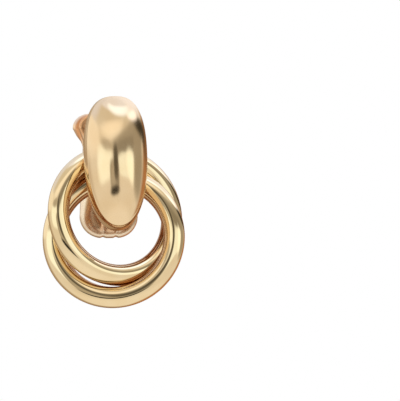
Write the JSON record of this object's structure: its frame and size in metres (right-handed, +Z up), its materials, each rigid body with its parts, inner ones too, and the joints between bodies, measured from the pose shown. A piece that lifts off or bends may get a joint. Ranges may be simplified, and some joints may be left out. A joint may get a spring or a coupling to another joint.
{
  "type": "clip-on earring",
  "caption": "Clip-on drop earring: a tall hollow dome in front, linked tube rings hanging behind it, and a sprung clip lever that closes on the ear lobe.",
  "frame": {"origin": "middle of the lobe seat, on the rear face of the back plate, opposite the lever's pad", "axes": "+Z up as worn, -Y towards the viewer (the way the dome faces), +X to the viewer's right"},
  "size_m": [0.028, 0.0235, 0.0417],
  "materials": {
    "polished_gold": "mirror polished pale gold plate",
    "ring_gold": "mirror polished pale gold plate",
    "lever_gold": "polished rosy gold plate on a stamped sheet",
    "satin_gold": "satin gold plate"
  },
  "bodies": {
    "root": {"front_dome": "polished_gold", "back_frame": "satin_gold", "hinge_pin": "satin_gold"},
    "lever": {"clip_lever": "lever_gold"},
    "drop": {"upper_ring": "ring_gold", "lower_ring": "ring_gold"}
  },
  "joints": [
    {"name": "lever_hinge", "type": "hinge", "parent": "root", "child": "lever", "pos_m": [0, 0.0081, -0.0148], "axis": [-1, 0, 0], "range_deg": [0, 55], "stiffness_Nm_per_rad": 0.002, "springref_deg": -17.19},
    {"name": "drop_swing", "type": "hinge", "parent": "root", "child": "drop", "pos_m": [0, 0.0047, -0.014], "axis": [0, 1, 0], "range_deg": [-12, 12]}
  ]
}
